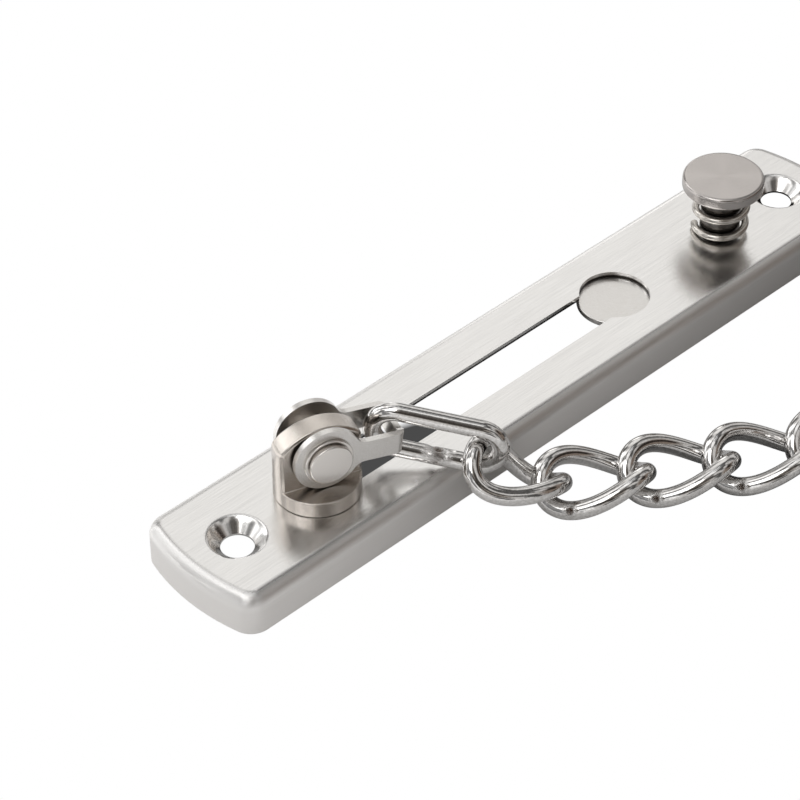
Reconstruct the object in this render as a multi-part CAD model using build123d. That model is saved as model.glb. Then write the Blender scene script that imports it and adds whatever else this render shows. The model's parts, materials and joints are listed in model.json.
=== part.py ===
from build123d import *
import os
from math import asin, ceil, cos, degrees, pi, radians, sin, sqrt, tan

# Sliding door chain. Millimetres. The origin is at the middle of the track plate's open back,
# which lies against the door. +X runs along the slot towards the release button, +Z away from the door.

# Track plate, pressed from sheet as a shallow tray
plate_length = 144.0
plate_width = 25.0
plate_height = 7.2
sheet = 1.0
rim_radius = 2.2          # outside bend between the face and the walls
corner_radius = 3.6       # corners seen from the front
end_bow_radius = 38.0     # the short ends are slightly bowed in plan

# Pressed countersinks for the wood screws
screw_inset = 10.0        # from each end
screw_hole_radius = 2.65
sink_radius = 4.75        # where the cone meets the face
sink_half_angle = 45.0
sink_lip = 0.25           # depth of the flatter cone that breaks the upper edge
sink_land = 0.35          # straight wall at the bottom of the cone

# Slot, keyhole and button hole in the face of the plate
slot_width = 7.5
slot_inset = 26.0         # centre of the slot's round end, from the near end of the plate
keyhole_radius = 5.9
keyhole_to_button = 25.9
button_inset = 25.0       # button axis, from the far end of the plate

# Release button, its spring and the lock plate that closes the keyhole from below
button_radius = 6.9
button_top = 11.05        # above the plate's face
button_thickness = 2.2
button_edge = 0.5
stem_radius = 3.3
stem_clearance = 0.15
spigot_radius = 2.2       # riveted end of the stem, through the lock plate
rivet_radius = 3.3
rivet_thickness = 0.7
spring_radius = 4.35      # middle of the wire
spring_wire = 1.2
spring_pitch = 3.7
spring_seat = 0.02
spring_start = 190.0      # where the lower end lies, seen from above
spring_steps = 9          # straight runs in one turn
lock_radius = 6.3
lock_thickness = 1.1
lock_gap = 0.03           # between the lock plate and the inside of the track plate

# Slider: a turned stud with a milled tongue above the plate, and a foot ring below it
stud_radius = 6.9
stud_flange = 2.8
stud_offset = -0.5        # the loose neck leans on one side of the slot
stud_turn = -18.5         # the head is turned towards the chain
slide_gap = 0.1
neck_radius = 3.1
tongue_thickness = 4.0
dome_radius = 9.1
dome_centre = 4.3         # centre of the tongue's domed top, above the plate's face
tongue_edge = 0.35
foot_radius = 5.5
foot_thickness = 1.4
foot_spigot = 2.2
foot_bore_gap = 0.05
foot_rivet_radius = 3.4
foot_rivet_thickness = 0.7

# Pivot pin through the tongue, with a washer under each head
pin_height = 8.5          # above the plate's face
pin_ahead = 0.4           # of the stud's axis
pin_radius = 2.4
pin_clearance = 0.06
pin_head_radius = 3.5
pin_head = 0.6
pin_head_edge = 0.15
pin_neck_radius = 3.05
pin_neck = 0.3
washer_radius = 4.0
washer_thickness = 0.5
seat_gap = 0.03

# Shackle, a strap folded into a U round the pin
eye_radius = 5.45
strap = 1.0
strap_width = 3.8
strap_waist = 2.9         # width in the middle of the cross-piece, where the long link hangs
waist_taper = 0.9
near_arm = 3.55           # outer face of the arm nearer the chain, from the tongue's middle
far_arm = 4.85
shackle_reach = 13.0      # from the pin to the outer face of the cross-piece
shackle_bend = 1.4
shackle_dip = 6.0         # degrees below level
shackle_web = 2.0         # fillet between an eye and its arm

# Chain
wire_radius = 1.5
bow_runs = 8              # straight runs of wire in half a turn
long_length = 20.2        # between the middles of the wire at the two ends
long_width = 7.3
long_gap = 1.3            # between the bow of the wire and the strap it hangs on
long_turn = -51.0
long_dip = 9.3
level_count = 3           # curb links that lie flat between the two hanging ones
curb_half_length = 8.5
curb_half_width = 5.4
curb_fullness = 0.16      # how much squarer than an ellipse the link is
curb_twist = 82.0         # degrees from one end of the link to the other
curb_play = 0.24          # between two links pulled straight
hang_turn = -22.0         # the curb link that hangs in the long link
hang_back = 2.72          # its near end, from the long link's far end, along, across and down
hang_side = 2.39
hang_drop = 1.49
run_turn = -32.2
run_ahead = 0.06          # the level run's start, from the hanging link's lower end
run_side = 1.15
table_gap = 0.02

# Anchor plate at the far end of the chain, with a riveted staple
anchor_length = 56.0
anchor_width = 25.0
anchor_screw_inset = 9.0
staple_offset = 5.5       # from the middle of the plate towards the chain
staple_width = 4.0
staple_strap = 1.2
staple_span = 11.4        # outside of the legs
staple_height = 7.9       # top above the plate's face
staple_bend = 2.2
staple_foot = 5.4         # from the leg outwards
anchor_rivet_radius = 1.4
anchor_rivet_head = 2.4
anchor_rivet_rise = 0.8

os.makedirs("parts", exist_ok=True)


def save(shape, name):
    """Write one piece to its own file."""
    shape.label = name
    export_step(shape, f"parts/{name}.step")


def turned(outline):
    """A solid of revolution about Z from (radius, height) corners."""
    face = make_face(Polyline(*[(r, 0, z) for r, z in outline], close=True))
    return revolve(face, Axis.Z)


def disc(radius, low, high, bevel=0.0):
    """A plate round Z between two heights, with both rims bevelled."""
    solid = Pos(0, 0, low) * Cylinder(radius, high - low, align=(Align.CENTER, Align.CENTER, Align.MIN))
    if bevel > 0:
        solid = chamfer(solid.edges().filter_by(GeomType.CIRCLE), bevel)
    return solid


def bent_wire(points, radius):
    """Round wire in straight runs, mitred where they meet."""
    section = Plane(origin=points[0], z_dir=points[1] - points[0]) * Circle(radius)
    return sweep(section, path=Polyline(*points), transition=Transition.RIGHT)


def heading(turn, dip):
    """Unit vector turned about Z from +X, then dipped below level, in degrees."""
    return Vector(
        cos(radians(dip)) * cos(radians(turn)),
        cos(radians(dip)) * sin(radians(turn)),
        -sin(radians(dip)),
    )


def set_along(origin, turn, dip):
    """A plane with its X along a heading and its Y level."""
    level = Vector(-sin(radians(turn)), cos(radians(turn)), 0)
    forward = heading(turn, dip)
    return Plane(origin=origin, x_dir=forward, z_dir=forward.cross(level))


# Pressed plates

def plate_outline(length, width):
    """Plan of a pressed plate: straight long sides, bowed ends, rounded corners."""
    half_width = width / 2
    sag = end_bow_radius - sqrt(end_bow_radius**2 - half_width**2)
    edge_x = length / 2 - sag
    lines = [
        Line((-edge_x, half_width), (edge_x, half_width)),
        ThreePointArc((edge_x, half_width), (length / 2, 0), (edge_x, -half_width)),
        Line((edge_x, -half_width), (-edge_x, -half_width)),
        ThreePointArc((-edge_x, -half_width), (-length / 2, 0), (-edge_x, half_width)),
    ]
    face = make_face(lines)
    return fillet(face.vertices(), corner_radius)


def pressed_tray(length, width):
    """Open-backed tray of one sheet, its face at plate_height."""
    outline = plate_outline(length, width)
    outer = extrude(outline, plate_height)
    outer = fillet(outer.edges().group_by(Axis.Z)[-1], rim_radius)
    inner = extrude(offset(outline, -sheet), plate_height - sheet)
    inner_flat = (2 - sqrt(2)) * (rim_radius - sheet)
    inner = chamfer(inner.edges().group_by(Axis.Z)[-1], inner_flat)
    return outer - inner


def with_sink(tray, x):
    """Press one countersunk screw hole into a tray's face, its upper edge broken by a flatter cone."""
    slope = tan(radians(sink_half_angle))
    cone_bottom = plate_height - (sink_radius - screw_hole_radius) / slope
    under = sheet / cos(radians(sink_half_angle))
    land_bottom = cone_bottom - sink_land
    boss_top = plate_height - sheet / 2
    boss = turned([
        (0, land_bottom),
        (screw_hole_radius + under - sink_land * slope, land_bottom),
        (screw_hole_radius + under + (boss_top - cone_bottom) * slope, boss_top),
        (0, boss_top),
    ])
    above = 1.0
    cut = turned([
        (0, land_bottom - above),
        (screw_hole_radius, land_bottom - above),
        (screw_hole_radius, cone_bottom),
        (sink_radius - sink_lip * slope, plate_height - sink_lip),
        (sink_radius + sink_lip, plate_height),
        (sink_radius + sink_lip, plate_height + above),
        (0, plate_height + above),
    ])
    return tray + Pos(x, 0, 0) * boss - Pos(x, 0, 0) * cut


near_end = -plate_length / 2
far_end = plate_length / 2
slider_x = near_end + slot_inset
button_x = far_end - button_inset
keyhole_x = button_x - keyhole_to_button
under_face = plate_height - sheet


def make_track_plate():
    tray = pressed_tray(plate_length, plate_width)
    for x in (near_end + screw_inset, far_end - screw_inset):
        tray = with_sink(tray, x)
    slot_length = keyhole_x - slider_x
    through = 2 * sheet
    slot = Pos((slider_x + keyhole_x) / 2, 0, plate_height) * Box(slot_length, slot_width, through)
    round_end = Pos(slider_x, 0, plate_height) * Cylinder(slot_width / 2, through)
    keyhole = Pos(keyhole_x, 0, plate_height) * Cylinder(keyhole_radius, through)
    stem_hole = Pos(button_x, 0, plate_height) * Cylinder(stem_radius + stem_clearance, through)
    return tray - slot - round_end - keyhole - stem_hole


# Release button, spring and lock plate

lock_top = under_face - lock_gap
lock_bottom = lock_top - lock_thickness
head_top = plate_height + button_top
head_bottom = head_top - button_thickness


def make_release_button():
    head = disc(button_radius, head_bottom, head_top, button_edge)
    stem = disc(stem_radius, lock_top, head_bottom)
    spigot = disc(spigot_radius, lock_bottom, lock_top)
    rivet = disc(rivet_radius, lock_bottom - rivet_thickness, lock_bottom)
    return Pos(button_x, 0, 0) * (head + stem + spigot + rivet)


def make_lock_plate():
    """Flat strip with round ends, riveted to the stem and reaching under the keyhole."""
    middle = (keyhole_x + button_x) / 2
    strip = SlotCenterToCenter(keyhole_to_button, 2 * lock_radius)
    blank = Pos(middle, 0, lock_bottom) * extrude(strip, lock_thickness)
    return blank - Pos(button_x, 0, 0) * disc(spigot_radius, lock_bottom - 1, lock_top + 1)


def make_button_spring():
    low = plate_height + spring_wire / 2 + spring_seat
    rise = head_bottom - plate_height - spring_wire - 2 * spring_seat
    turns = rise / spring_pitch
    runs = ceil(turns * spring_steps)
    points = []
    for k in range(runs + 1):
        share = k / runs
        turn = radians(spring_start) + 2 * pi * turns * share
        points.append(Vector(spring_radius * cos(turn), spring_radius * sin(turn), low + rise * share))
    return Pos(button_x, 0, 0) * bent_wire(points, spring_wire / 2)


# Slider: foot ring, stud with tongue

foot_top = under_face - slide_gap
foot_bottom = foot_top - foot_thickness
stud_bottom = plate_height + slide_gap
flange_top = stud_bottom + stud_flange
dome_z = plate_height + dome_centre


def make_slider_foot():
    ring = disc(foot_radius, foot_bottom, foot_top)
    return ring - disc(foot_spigot + foot_bore_gap, foot_bottom - 1, foot_top + 1)


def make_stud():
    """Stud about the Z axis, its tongue along +X, bored across for the pin."""
    top = dome_z + dome_radius
    blank = disc(stud_radius, stud_bottom, top)
    slab = Pos(0, 0, (flange_top + top) / 2) * Box(2 * stud_radius, tongue_thickness, top - flange_top)
    dome = Pos(0, 0, dome_z) * Rot(90, 0, 0) * Cylinder(dome_radius, tongue_thickness)
    below = Pos(0, 0, (flange_top + dome_z) / 2) * Box(2 * stud_radius, tongue_thickness, dome_z - flange_top)
    tongue = blank & slab & (dome + below)
    tongue = chamfer(tongue.edges().filter_by(lambda edge: edge.center().Z > dome_z + 1), tongue_edge)
    flange = disc(stud_radius, stud_bottom, flange_top)
    neck = disc(neck_radius, foot_top + seat_gap, stud_bottom)
    spigot = disc(foot_spigot, foot_bottom - seat_gap, foot_top + seat_gap)
    rivet = disc(foot_rivet_radius, foot_bottom - seat_gap - foot_rivet_thickness, foot_bottom - seat_gap)
    bore = Pos(pin_ahead, 0, pin_z) * Rot(90, 0, 0) * Cylinder(pin_radius + pin_clearance, 2 * stud_radius)
    return flange + tongue + neck + spigot + rivet - bore


# Shackle group, drawn round the pin: X along the arms, Y across, the near side at -Y

def make_shackle():
    """Folded strap: the plan of the U, cut by the side view of eyes and arms."""
    across = near_arm + far_arm
    middle_y = (far_arm - near_arm) / 2
    reach = shackle_reach + eye_radius
    outer = Pos(shackle_reach - reach / 2, middle_y, 0) * Box(reach, across, 2 * eye_radius)
    outer = fillet(outer.edges().filter_by(Axis.Z).group_by(Axis.X)[-1], shackle_bend)
    gap = across - 2 * strap
    inner = Pos(shackle_reach - strap - reach / 2, middle_y, 0) * Box(reach, gap, 3 * eye_radius)
    inner = fillet(inner.edges().filter_by(Axis.Z).group_by(Axis.X)[-1], shackle_bend - strap)
    arm = Pos(shackle_reach / 2, 0) * Rectangle(shackle_reach, strap_width)
    side = Circle(eye_radius) + arm
    side = fillet(side.vertices().filter_by_position(Axis.X, 0.1, shackle_reach - strap), shackle_web)
    side = Rot(90, 0, 0) * side
    profile = Pos(0, across + middle_y, 0) * extrude(side, 2 * across, dir=(0, -1, 0))
    bore = Rot(90, 0, 0) * Cylinder(pin_radius + pin_clearance, 4 * across)
    inside_near = strap - near_arm
    inside_far = far_arm - strap
    notch = make_face(Polyline(
        (inside_near, strap_width / 2),
        (inside_near + waist_taper, strap_waist / 2),
        (inside_far - waist_taper, strap_waist / 2),
        (inside_far, strap_width / 2),
        (inside_far, strap_width),
        (inside_near, strap_width),
        close=True,
    ))
    notch = Plane(origin=(shackle_reach - 2 * strap, 0, 0), x_dir=(0, 1, 0), z_dir=(1, 0, 0)) * extrude(
        notch, 3 * strap
    )
    return (outer - inner) & profile - bore - notch - mirror(notch, about=Plane.XY)


def make_pin():
    """Turned pin with a head and a short neck at each end."""
    near = near_arm + 2 * seat_gap + washer_thickness
    far = far_arm + 2 * seat_gap + washer_thickness
    shank = disc(pin_radius, -near - seat_gap, far + seat_gap)
    solid = shank
    for sign, start in ((-1, near), (1, far)):
        step = start + pin_neck
        end = step + pin_head
        neck = disc(pin_neck_radius, min(sign * start, sign * step), max(sign * start, sign * step))
        head = disc(pin_head_radius, min(sign * step, sign * end), max(sign * step, sign * end), pin_head_edge)
        solid = solid + neck + head
    return Rot(-90, 0, 0) * solid


def make_washer(face, sign):
    """Washer outside an arm whose outer face is at the given distance."""
    low = face + seat_gap
    high = low + washer_thickness
    ring = disc(washer_radius, min(sign * low, sign * high), max(sign * low, sign * high))
    return Rot(-90, 0, 0) * (ring - disc(pin_radius + pin_clearance / 2, -2 * far_arm, 2 * far_arm))


# Chain links, each drawn as half a link and the half-turn copy that closes it

def make_long_link():
    """Straight-sided link in the XZ plane, from X = 0 at one end's wire middle."""
    bend = long_width / 2
    step = pi / bow_runs
    corner = bend / cos(step / 2)
    points = [Vector(long_length / 2, 0, bend)]
    for k in range(bow_runs):
        turn = pi / 2 - (k + 0.5) * step
        points.append(Vector(long_length - bend + corner * cos(turn), 0, corner * sin(turn)))
    points.append(Vector(long_length / 2, 0, -bend))
    half = bent_wire(points, wire_radius)
    return half + half.rotate(Axis((long_length / 2, 0, 0), (0, 0, 1)), 180)


def curb_point(t):
    """Middle of a curb link's wire: a full oval whose plane twists along its length."""
    x = curb_half_length * cos(t)
    side = curb_half_width * sin(t) * (1 + curb_fullness * cos(t) ** 2)
    roll = -radians(curb_twist) / 2 * x / curb_half_length
    return Vector(x, side * cos(roll), side * sin(roll))


curb_step = pi / bow_runs
curb_corners = [curb_point((k + 0.5) * curb_step) / cos(curb_step / 2) for k in range(bow_runs)]


def make_curb_link():
    end = Vector(curb_half_length, 0, 0)
    half = bent_wire([end, *curb_corners, -end], wire_radius)
    return half + half.rotate(Axis.X, 180)


# Anchor, drawn round the foot of its staple: X away from the chain, Y along the plate

def make_anchor_plate():
    tray = pressed_tray(anchor_length, anchor_width)
    for side in (-1, 1):
        tray = with_sink(tray, side * (anchor_length / 2 - anchor_screw_inset))
    plate = Pos(staple_offset, 0, 0) * Rot(0, 0, 90) * tray
    for y in anchor_rivet_places:
        plate = plate - Pos(0, y, 0) * disc(anchor_rivet_radius, under_face - 1, plate_height + 1)
    return plate


def make_anchor_staple():
    """Strap bent up over the end link, with a riveted foot on each side."""
    bridge = Rectangle(staple_span, staple_height, align=(Align.CENTER, Align.MIN))
    bridge = fillet(bridge.vertices().group_by(Axis.Y)[-1], staple_bend)
    opening = Rectangle(
        staple_span - 2 * staple_strap, staple_height - staple_strap, align=(Align.CENTER, Align.MIN)
    )
    opening = fillet(opening.vertices().group_by(Axis.Y)[-1], staple_bend - staple_strap)
    feet = Rectangle(staple_span + 2 * staple_foot, staple_strap, align=(Align.CENTER, Align.MIN))
    profile = bridge + feet - opening
    staple = Plane(origin=(0, 0, plate_height), x_dir=(0, 1, 0), z_dir=(1, 0, 0)) * extrude(
        profile, staple_width / 2, both=True
    )
    for y in anchor_rivet_places:
        staple = staple - Pos(0, y, 0) * disc(anchor_rivet_radius, plate_height - 1, plate_height + 2 * staple_strap)
    return staple


def make_anchor_rivet():
    foot_face = plate_height + staple_strap
    shank = disc(anchor_rivet_radius, under_face, foot_face)
    head = disc(anchor_rivet_head, foot_face, foot_face + anchor_rivet_rise)
    upset = disc(anchor_rivet_head, under_face - anchor_rivet_rise, under_face)
    return shank + head + upset


# Places, from the slider outwards

def turned_back(plane, centre):
    """The same place half a turn round the vertical axis through centre."""
    spot, ahead, up = plane.origin, plane.x_dir, plane.z_dir
    return Plane(
        origin=(2 * centre.X - spot.X, 2 * centre.Y - spot.Y, spot.Z),
        x_dir=(-ahead.X, -ahead.Y, ahead.Z),
        z_dir=(-up.X, -up.Y, up.Z),
    )


pin_z = plate_height + pin_height
stud_axis = Vector(slider_x, stud_offset, 0)
pin_middle = stud_axis + heading(stud_turn, 0) * pin_ahead + Vector(0, 0, pin_z)
shackle_plane = set_along(pin_middle, stud_turn, shackle_dip)
cross_piece = pin_middle + heading(stud_turn, shackle_dip) * (shackle_reach - strap / 2)

long_forward = heading(long_turn, long_dip)
long_start = cross_piece - long_forward * (strap / 2 + long_gap + wire_radius)
long_plane = set_along(long_start, long_turn, long_dip)

curb_pitch = 2 * (curb_half_length - wire_radius) - curb_play
curb_height = max(corner.Z for corner in curb_corners) + wire_radius + table_gap
hang_near = (
    long_start
    + long_forward * (long_length - hang_back)
    - long_plane.y_dir * hang_side
    - long_plane.z_dir * hang_drop
)
hang_dip = degrees(asin((hang_near.Z - curb_height) / curb_pitch))
hang_forward = heading(hang_turn, hang_dip)
hang_plane = set_along(hang_near + hang_forward * curb_pitch / 2, hang_turn, hang_dip)

run_forward = heading(run_turn, 0)
run_across = Vector(-run_forward.Y, run_forward.X, 0)
run_start = hang_near + hang_forward * curb_pitch + run_forward * run_ahead - run_across * run_side
level_planes = [
    set_along(run_start + run_forward * curb_pitch * (k + 0.5), run_turn, 0) for k in range(level_count)
]
run_middle = run_start + run_forward * curb_pitch * level_count / 2

# The far end hangs from the staple as the near end hangs from the shackle
far_long_plane = turned_back(long_plane, run_middle)
far_start = far_long_plane.origin + far_long_plane.x_dir * (wire_radius + long_gap + staple_width / 2)
anchor_plane = Plane(origin=(far_start.X, far_start.Y, 0), x_dir=run_forward, z_dir=(0, 0, 1))
anchor_rivet_places = [side * (staple_span + staple_foot) / 2 for side in (-1, 1)]


def build():
    save(make_track_plate(), "track_plate")
    save(make_release_button(), "release_button")
    save(make_lock_plate(), "lock_plate")
    save(make_button_spring(), "button_spring")
    save(Pos(*stud_axis) * make_slider_foot(), "slider_foot")
    stud = Plane(origin=stud_axis, x_dir=heading(stud_turn, 0), z_dir=(0, 0, 1)) * make_stud()
    save(stud, "slider_stud")
    save(shackle_plane * make_shackle(), "shackle")
    save(shackle_plane * make_pin(), "pivot_pin")
    save(shackle_plane * make_washer(near_arm, -1), "pivot_washer_near")
    save(shackle_plane * make_washer(far_arm, 1), "pivot_washer_far")
    long_link = make_long_link()
    curb_link = make_curb_link()
    links = [(long_plane, long_link), (hang_plane, curb_link)]
    links += [(plane, curb_link) for plane in level_planes]
    links += [(turned_back(hang_plane, run_middle), curb_link), (far_long_plane, long_link)]
    for k, (plane, link) in enumerate(links):
        save(plane * link, f"chain_link_{k + 1:02d}")
    save(anchor_plane * make_anchor_plate(), "anchor_plate")
    save(anchor_plane * make_anchor_staple(), "anchor_staple")
    for y, end in zip(anchor_rivet_places, ("near", "far")):
        save(anchor_plane * (Pos(0, y, 0) * make_anchor_rivet()), f"anchor_rivet_{end}")


build()
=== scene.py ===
# %% [markdown]
# # A sliding door chain in stainless steel
# A door chain lets a door open by a hand's width. Its slider runs in the slot of a pressed plate,
# and its chain ends at a small anchor plate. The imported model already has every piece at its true
# size and place. This notebook gives it the camera, the studio and the finishes, and draws the wire
# and the turned pieces again as smooth surfaces, because a solid that is cut into flat facets shows
# them in polished metal.

# %% Load the frame
import json

import bmesh
import bpy
import numpy as np
from mathutils import Matrix, Vector

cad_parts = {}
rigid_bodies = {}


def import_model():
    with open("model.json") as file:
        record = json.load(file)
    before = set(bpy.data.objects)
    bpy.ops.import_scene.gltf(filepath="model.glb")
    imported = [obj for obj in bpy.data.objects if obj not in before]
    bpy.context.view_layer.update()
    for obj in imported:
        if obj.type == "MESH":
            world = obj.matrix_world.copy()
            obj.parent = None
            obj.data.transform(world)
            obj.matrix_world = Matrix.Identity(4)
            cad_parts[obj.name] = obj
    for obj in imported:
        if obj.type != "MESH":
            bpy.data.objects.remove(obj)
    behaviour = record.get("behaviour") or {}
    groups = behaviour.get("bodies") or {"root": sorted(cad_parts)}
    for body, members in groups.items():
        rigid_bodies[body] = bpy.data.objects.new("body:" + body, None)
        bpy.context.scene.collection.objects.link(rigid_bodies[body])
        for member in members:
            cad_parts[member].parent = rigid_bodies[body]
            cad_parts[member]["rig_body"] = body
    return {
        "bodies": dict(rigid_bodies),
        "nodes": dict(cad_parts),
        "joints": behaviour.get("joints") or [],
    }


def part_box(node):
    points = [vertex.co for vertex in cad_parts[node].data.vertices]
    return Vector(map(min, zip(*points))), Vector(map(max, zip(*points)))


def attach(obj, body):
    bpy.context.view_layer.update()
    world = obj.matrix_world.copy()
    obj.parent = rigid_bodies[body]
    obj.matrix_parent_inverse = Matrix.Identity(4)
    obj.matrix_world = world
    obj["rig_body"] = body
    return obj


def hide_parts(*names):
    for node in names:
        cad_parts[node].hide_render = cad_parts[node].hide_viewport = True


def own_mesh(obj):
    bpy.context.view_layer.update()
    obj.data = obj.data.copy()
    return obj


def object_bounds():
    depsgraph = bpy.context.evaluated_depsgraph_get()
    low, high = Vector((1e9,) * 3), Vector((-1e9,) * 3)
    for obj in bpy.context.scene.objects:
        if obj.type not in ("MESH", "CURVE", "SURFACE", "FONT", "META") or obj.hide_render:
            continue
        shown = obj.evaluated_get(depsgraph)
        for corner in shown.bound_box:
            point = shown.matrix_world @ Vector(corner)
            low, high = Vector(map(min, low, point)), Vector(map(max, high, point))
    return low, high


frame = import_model()
cad_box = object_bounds()
nodes = frame["nodes"]
joints = {joint["name"]: joint for joint in frame["joints"]}
mm = 0.001
print("pieces in the frame:", len(nodes), "joints:", len(joints))

# %% [markdown]
# ## The camera
# A product photograph of something this small is taken from half a metre with a long lens, so
# parallel edges hardly converge. A camera could be turned by eye until the view looks right. Here
# its place and directions are typed, because they were solved from points of the set in the
# photograph, and then the pieces fall where the photograph has them.

# %% Camera
camera_place = Vector((-262.07, -245.80, 314.19)) * mm
camera_right = Vector((0.7242, -0.6896, 0.0))
camera_up = Vector((0.4570, 0.4799, 0.7488))
camera_back = camera_right.cross(camera_up)

camera_data = bpy.data.cameras.new("camera")
camera_data.lens = 131.2
camera_data.sensor_width = 36.0
camera_data.clip_start = 0.01
camera = bpy.data.objects.new("camera", camera_data)
columns = Matrix((camera_right, camera_up, camera_back)).transposed()
camera.matrix_world = Matrix.Translation(camera_place) @ columns.to_4x4()
bpy.context.scene.collection.objects.link(camera)
bpy.context.scene.camera = camera
print("camera distance in mm:", round(camera_place.length / mm))

# %% [markdown]
# ## Surfaces from grids of points
# Wire and turned pieces could be made with Blender's curves and its screw modifier. Here each of
# them is a grid: a formula gives the place of each point from two numbers, one along the piece and
# one round it. One function then serves both kinds, and a formula can also move single points,
# which the welds of the chain need.


# %% From a grid of points to a piece
def surface(name, points, closed_along=False):
    """Mesh from a grid of points, rows along the piece and columns round it.

    Each cell between four neighbouring points is a face. The columns always close on themselves.
    The rows close too where closed_along is set. Otherwise a flat face shuts each end, unless the
    first row and the last are the same.
    """
    rows, columns = points.shape[:2]
    number = np.arange(rows * columns).reshape(rows, columns)
    meets = closed_along or np.allclose(points[0], points[-1])
    ends = [] if meets else [number[0].tolist(), number[-1].tolist()]
    if closed_along:
        number = np.vstack([number, number[:1]])
    number = np.hstack([number, number[:, :1]])
    cells = np.stack([number[:-1, :-1], number[1:, :-1], number[1:, 1:], number[:-1, 1:]], axis=-1)
    mesh = bpy.data.meshes.new(name)
    mesh.from_pydata(points.reshape(-1, 3), [], cells.reshape(-1, 4).tolist() + ends)
    work = bmesh.new()
    work.from_mesh(mesh)
    bmesh.ops.remove_doubles(work, verts=work.verts, dist=1e-6)
    bmesh.ops.recalc_face_normals(work, faces=work.faces)
    work.to_mesh(mesh)
    work.free()
    mesh.shade_smooth()
    mesh.set_sharp_from_angle(angle=np.radians(32))
    piece = bpy.data.objects.new(name, mesh)
    bpy.context.scene.collection.objects.link(piece)
    return piece


def even_shading(piece):
    """Keep flat faces evenly shaded up to their rounded edges: large faces weigh most in a corner."""
    weighted = piece.modifiers.new("even shading", "WEIGHTED_NORMAL")
    weighted.keep_sharp = True
    return piece


def fit(piece, node, material):
    """Put a finished piece in the place of one node of the frame, on that node's body."""
    piece.data.materials.clear()
    piece.data.materials.append(material)
    body = nodes[node]["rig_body"]
    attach(piece, body)
    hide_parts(node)
    print(piece.name, "faces:", len(piece.data.polygons))


# %% [markdown]
# ## Nodes for the finishes
# All of the set is one metal, and only its surface differs. A finish could be a picture laid round
# each piece, but a picture blurs from near and shows its seams. So each finish is a few texture
# nodes in front of the same metal shader. These helpers add one step each. They take the material,
# or later the world, whose nodes they add to, as owner.


# %% Metal and its textures
def steel(name, colour, roughness):
    """A metal with its node tree, and the shader that the finishes below are wired to."""
    material = bpy.data.materials.new(name)
    material.use_nodes = True
    shader = material.node_tree.nodes["Principled BSDF"]
    shader.inputs["Metallic"].default_value = 1.0
    shader.inputs["Base Color"].default_value = (*colour, 1.0)
    shader.inputs["Roughness"].default_value = roughness
    return material, shader


def pattern(material, kind, stretch, turn=0.0, place=(0, 0, 0), **values):
    """A texture node on the piece's own coordinates, stretched and turned by a Mapping node."""
    tree = material.node_tree
    coordinates = tree.nodes.new("ShaderNodeTexCoord")
    mapping = tree.nodes.new("ShaderNodeMapping")
    mapping.vector_type = "TEXTURE"
    mapping.inputs["Location"].default_value = place
    mapping.inputs["Rotation"].default_value = (0, 0, turn)
    mapping.inputs["Scale"].default_value = stretch
    texture = tree.nodes.new(kind)
    for key, value in values.items():
        texture.inputs[key].default_value = value
    tree.links.new(coordinates.outputs["Object"], mapping.inputs["Vector"])
    tree.links.new(mapping.outputs["Vector"], texture.inputs["Vector"])
    return texture


def bumps(material, shader, source, strength, distance, before=None):
    """Let a texture's value stand up from the surface, over an earlier bump where there is one."""
    bump = material.node_tree.nodes.new("ShaderNodeBump")
    bump.inputs["Strength"].default_value = strength
    bump.inputs["Distance"].default_value = distance
    material.node_tree.links.new(source, bump.inputs["Height"])
    if before is not None:
        material.node_tree.links.new(before, bump.inputs["Normal"])
    material.node_tree.links.new(bump.outputs["Normal"], shader.inputs["Normal"])
    return bump.outputs["Normal"]


print("helpers: steel, pattern, bumps")


# %% Values and colours between nodes
def fade(owner, source, low, high, start, stop):
    """A value that goes from low to high while the source goes from start to stop."""
    node = owner.node_tree.nodes.new("ShaderNodeMapRange")
    node.inputs["From Min"].default_value = start
    node.inputs["From Max"].default_value = stop
    node.inputs["To Min"].default_value = low
    node.inputs["To Max"].default_value = high
    owner.node_tree.links.new(source, node.inputs["Value"])
    return node.outputs["Result"]


noise_values = (0.3, 0.7)


def tones(material, texture, low, high):
    """A colour that goes from low to high over the values that a noise mostly has."""
    node = material.node_tree.nodes.new("ShaderNodeValToRGB")
    for element, place, colour in zip(node.color_ramp.elements, noise_values, (low, high)):
        element.position = place
        element.color = (*colour, 1)
    material.node_tree.links.new(texture.outputs["Fac"], node.inputs["Fac"])
    return node.outputs["Color"]


def gloss(material, texture, low, high):
    """A roughness that goes from low to high in the same way."""
    return fade(material, texture.outputs["Fac"], low, high, *noise_values)


def combine(owner, operation, *values):
    """The product or the sum of several values."""
    total = values[0]
    for value in values[1:]:
        node = owner.node_tree.nodes.new("ShaderNodeMath")
        node.operation = operation
        owner.node_tree.links.new(total, node.inputs[0])
        owner.node_tree.links.new(value, node.inputs[1])
        total = node.outputs["Value"]
    return total


def mixed(owner, share, low, high):
    """One colour where the share is 0 and another where it is 1. Each may be typed or a node's."""
    node = owner.node_tree.nodes.new("ShaderNodeMix")
    node.data_type = "RGBA"
    owner.node_tree.links.new(share, node.inputs["Factor"])
    for colour, socket in ((low, node.inputs[6]), (high, node.inputs[7])):
        if isinstance(colour, tuple):
            socket.default_value = (*colour, 1)
        else:
            owner.node_tree.links.new(colour, socket)
    return node.outputs[2]


def position(owner, unsigned=False):
    """X, Y and Z of a point, or how large each of them is without its sign."""
    tree = owner.node_tree
    source = tree.nodes.new("ShaderNodeTexCoord").outputs["Object"]
    if unsigned:
        size = tree.nodes.new("ShaderNodeVectorMath")
        size.operation = "ABSOLUTE"
        tree.links.new(source, size.inputs[0])
        source = size.outputs["Vector"]
    apart = tree.nodes.new("ShaderNodeSeparateXYZ")
    tree.links.new(source, apart.inputs["Vector"])
    return apart.outputs


print("helpers: fade, tones, gloss, combine, mixed, position")

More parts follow.
